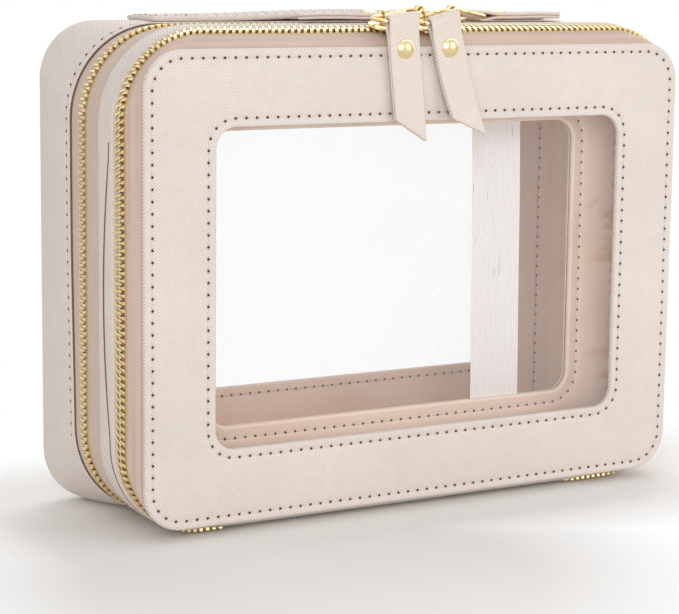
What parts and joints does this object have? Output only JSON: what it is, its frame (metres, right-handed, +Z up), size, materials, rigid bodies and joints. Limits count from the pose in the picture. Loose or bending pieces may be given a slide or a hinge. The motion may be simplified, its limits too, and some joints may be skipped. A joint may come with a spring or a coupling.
{
  "type": "clear-window make-up train case",
  "caption": "Soft two-compartment make-up case with clear windows, two metal zips running round it, leathercloth pulls on rings and a flat carry strap.",
  "frame": {"origin": "on the base, under the middle of the case's body", "axes": "+X to the right seen from the lid, +Y from the lid to the back, +Z up"},
  "size_m": [0.24, 0.0848, 0.185],
  "materials": {
    "leathercloth": "cross-hatch embossed, satin",
    "pull_leather": "cross-hatch embossed, satin",
    "board": "hidden stiffening board",
    "foam": "hidden foam",
    "clear_sheet": "clear soft vinyl, glossy",
    "lining": "smooth lining cloth",
    "zip_tape": "woven herringbone tape",
    "zip_metal": "polished pale gold",
    "gold_hardware": "polished pale gold",
    "elastic": "ribbed white elastic"
  },
  "bodies": {
    "back_body": {"rear_zip_chain_back": "zip_metal", "rear_zip_tape_back": "zip_tape", "rear_hinge_strip": "leathercloth", "back_gusset": "leathercloth", "back_gusset_foam": "foam", "back_gusset_lining": "lining", "back_panel_frame": "leathercloth", "back_window": "clear_sheet", "back_panel_board": "board", "back_panel_lining": "lining", "carry_handle": "leathercloth"},
    "middle_section": {"front_zip_tape_middle": "zip_tape", "front_zip_chain_middle": "zip_metal", "front_zip_end_left": "zip_metal", "front_zip_end_right": "zip_metal", "front_hinge_strip": "leathercloth", "middle_band": "leathercloth", "middle_board": "board", "middle_lining": "lining", "divider_frame_front": "leathercloth", "divider_board": "board", "divider_window": "clear_sheet", "divider_frame_back": "lining", "elastic_band": "elastic", "rear_zip_tape_middle": "zip_tape", "rear_zip_chain_middle": "zip_metal"},
    "front_lid": {"front_edge_binding": "leathercloth", "front_panel_frame": "leathercloth", "front_frame_board": "board", "front_window": "clear_sheet", "front_frame_lining": "lining", "front_zip_tape_lid": "zip_tape", "front_zip_chain_lid": "zip_metal"},
    "front_slider_left_body": {"front_slider_left": "gold_hardware"},
    "front_ring_left_body": {"front_ring_left": "gold_hardware"},
    "front_pull_left_body": {"front_pull_left": "pull_leather", "front_rivet_left": "gold_hardware"},
    "front_slider_right_body": {"front_slider_right": "gold_hardware"},
    "front_ring_right_body": {"front_ring_right": "gold_hardware"},
    "front_pull_right_body": {"front_pull_right": "pull_leather", "front_rivet_right": "gold_hardware"},
    "rear_slider_left_body": {"rear_slider_left": "gold_hardware"},
    "rear_ring_left_body": {"rear_ring_left": "gold_hardware"},
    "rear_pull_left_body": {"rear_pull_left": "pull_leather", "rear_rivet_left": "gold_hardware"},
    "rear_slider_right_body": {"rear_slider_right": "gold_hardware"},
    "rear_ring_right_body": {"rear_ring_right": "gold_hardware"},
    "rear_pull_right_body": {"rear_pull_right": "pull_leather", "rear_rivet_right": "gold_hardware"}
  },
  "joints": [
    {"name": "middle_hinge", "type": "hinge", "parent": "back_body", "child": "middle_section", "pos_m": [0, -0.0155, 0], "axis": [1, 0, 0], "range_deg": [0, 90]},
    {"name": "lid_hinge", "type": "hinge", "parent": "middle_section", "child": "front_lid", "pos_m": [0, -0.038, 0.0042], "axis": [1, 0, 0], "range_deg": [0, 85]},
    {"name": "front_slider_left_run", "type": "slide", "parent": "front_lid", "child": "front_slider_left_body", "axis": [-1, 0, 0], "range_m": [0, 0.065]},
    {"name": "front_ring_left_swing", "type": "hinge", "parent": "front_slider_left_body", "child": "front_ring_left_body", "pos_m": [-0.014, -0.0312, 0.1818], "axis": [1, 0, 0], "range_deg": [-90, 0]},
    {"name": "front_pull_left_swing", "type": "hinge", "parent": "front_ring_left_body", "child": "front_pull_left_body", "pos_m": [-0.01389, -0.04256, 0.18081], "axis": [0.9936, 0, 0.1132], "range_deg": [-120, 0]},
    {"name": "front_slider_right_run", "type": "slide", "parent": "front_lid", "child": "front_slider_right_body", "axis": [1, 0, 0], "range_m": [0, 0.075]},
    {"name": "front_ring_right_swing", "type": "hinge", "parent": "front_slider_right_body", "child": "front_ring_right_body", "pos_m": [0.0033, -0.0312, 0.1818], "axis": [1, 0, 0], "range_deg": [-90, 0]},
    {"name": "front_pull_right_swing", "type": "hinge", "parent": "front_ring_right_body", "child": "front_pull_right_body", "pos_m": [0.00356, -0.04256, 0.18083], "axis": [0.9659, 0, 0.2588], "range_deg": [-120, 0]},
    {"name": "rear_slider_left_run", "type": "slide", "parent": "middle_section", "child": "rear_slider_left_body", "axis": [-1, 0, 0], "range_m": [0, 0.095]},
    {"name": "rear_ring_left_lift", "type": "hinge", "parent": "rear_slider_left_body", "child": "rear_ring_left_body", "pos_m": [0.0195, -0.0015, 0.1829], "axis": [0, 1, 0], "range_deg": [0, 45]},
    {"name": "rear_pull_left_lift", "type": "hinge", "parent": "rear_ring_left_body", "child": "rear_pull_left_body", "pos_m": [0.00831, -0.0015, 0.1807], "axis": [0, 1, 0], "range_deg": [0, 55]},
    {"name": "rear_slider_right_run", "type": "slide", "parent": "middle_section", "child": "rear_slider_right_body", "axis": [1, 0, 0], "range_m": [0, 0.044]},
    {"name": "rear_ring_right_lift", "type": "hinge", "parent": "rear_slider_right_body", "child": "rear_ring_right_body", "pos_m": [0.034, -0.0015, 0.1829], "axis": [0, -1, 0], "range_deg": [0, 45]},
    {"name": "rear_pull_right_lift", "type": "hinge", "parent": "rear_ring_right_body", "child": "rear_pull_right_body", "pos_m": [0.04519, -0.0015, 0.1807], "axis": [0, -1, 0], "range_deg": [0, 55]}
  ]
}
